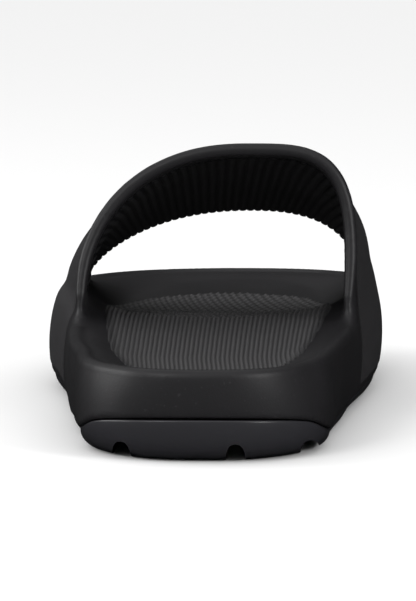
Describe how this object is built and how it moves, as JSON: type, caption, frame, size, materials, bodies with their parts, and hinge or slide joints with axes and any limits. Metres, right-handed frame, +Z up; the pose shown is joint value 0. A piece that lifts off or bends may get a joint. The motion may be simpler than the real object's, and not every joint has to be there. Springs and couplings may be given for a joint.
{
  "type": "sport slide sandal",
  "caption": "Left slide sandal moulded in soft foam, with a wide closed strap over the instep, a cupped ribbed footbed and a separate outsole with channels in its tread.",
  "frame": {"origin": "on the floor, under the middle of the shoe's box", "axes": "+X towards the inner side of the foot, +Y towards the toes, +Z up"},
  "size_m": [0.1124, 0.2918, 0.0871],
  "materials": {
    "foam": "matte moulded closed-cell foam, near black",
    "tread_rubber": "smooth satin, slightly bluish dark grey"
  },
  "bodies": {
    "root": {"moulded_body": "foam", "outsole": "tread_rubber"}
  },
  "joints": []
}
